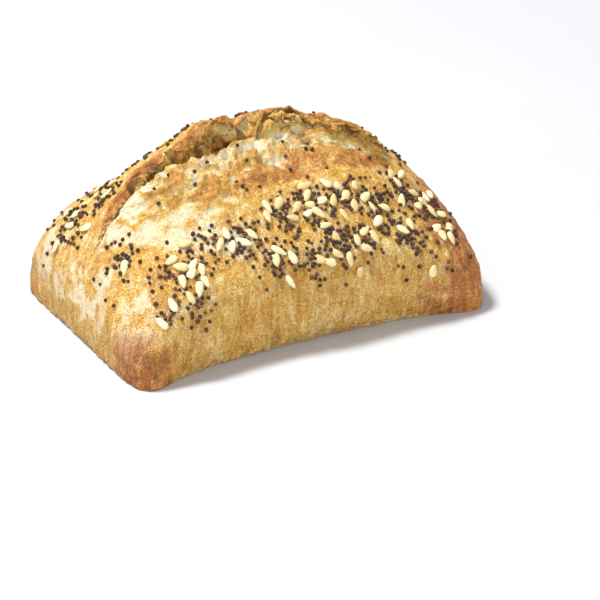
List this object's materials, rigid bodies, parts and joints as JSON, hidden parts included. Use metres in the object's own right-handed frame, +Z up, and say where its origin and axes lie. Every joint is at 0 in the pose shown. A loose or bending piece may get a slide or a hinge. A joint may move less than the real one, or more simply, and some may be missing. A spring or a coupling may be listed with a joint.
{
  "type": "bread roll",
  "caption": "Rustic oblong bread roll with drawn-out corners, burst open along the top under a raised ear, its skin seeded with sesame and poppy.",
  "frame": {"origin": "middle of the foot, under the middle of the roll's bounding box", "axes": "+X along the roll, +Y to the back, behind the raised ear, +Z up from the foot"},
  "size_m": [0.1, 0.0684, 0.0473],
  "materials": {
    "crust": "matt baked crust, floury at the foot"
  },
  "bodies": {
    "root": {"bread_roll": "crust"}
  },
  "joints": []
}
